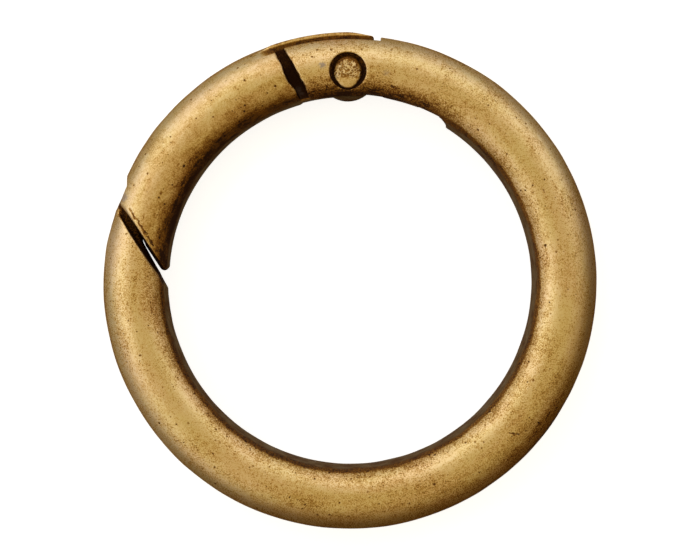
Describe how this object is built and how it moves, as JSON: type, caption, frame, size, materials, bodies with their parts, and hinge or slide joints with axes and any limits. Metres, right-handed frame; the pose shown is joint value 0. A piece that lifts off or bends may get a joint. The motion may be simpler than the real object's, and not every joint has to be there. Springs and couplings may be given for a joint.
{
  "type": "spring gate ring",
  "caption": "Round spring gate ring for keys and bags: a thick round-section ring with a riveted, sprung gate that opens inward.",
  "frame": {"origin": "centre of the ring's eye, on the ring's middle plane", "axes": "+Z is the ring's axis, out of the face that shows the rivet; +Y points from the eye's centre to the hinge; the ring lies flat, and the gate's mouth is at -X"},
  "size_m": [0.034, 0.0342, 0.0044],
  "materials": {
    "aged_brass": "satin",
    "worn_brass": "satin",
    "spring_steel": "satin"
  },
  "bodies": {
    "ring": {"ring_body": "aged_brass", "hinge_rivet": "worn_brass", "gate_spring": "spring_steel"},
    "gate": {"gate": "aged_brass"}
  },
  "joints": [
    {"name": "gate_hinge", "type": "hinge", "parent": "ring", "child": "gate", "pos_m": [-0.00014, 0.0145, 0], "axis": [0, 0, 1], "range_deg": [0, 30], "stiffness_Nm_per_rad": 0.005, "springref_deg": -42.97, "deforming": ["gate_spring"]}
  ]
}
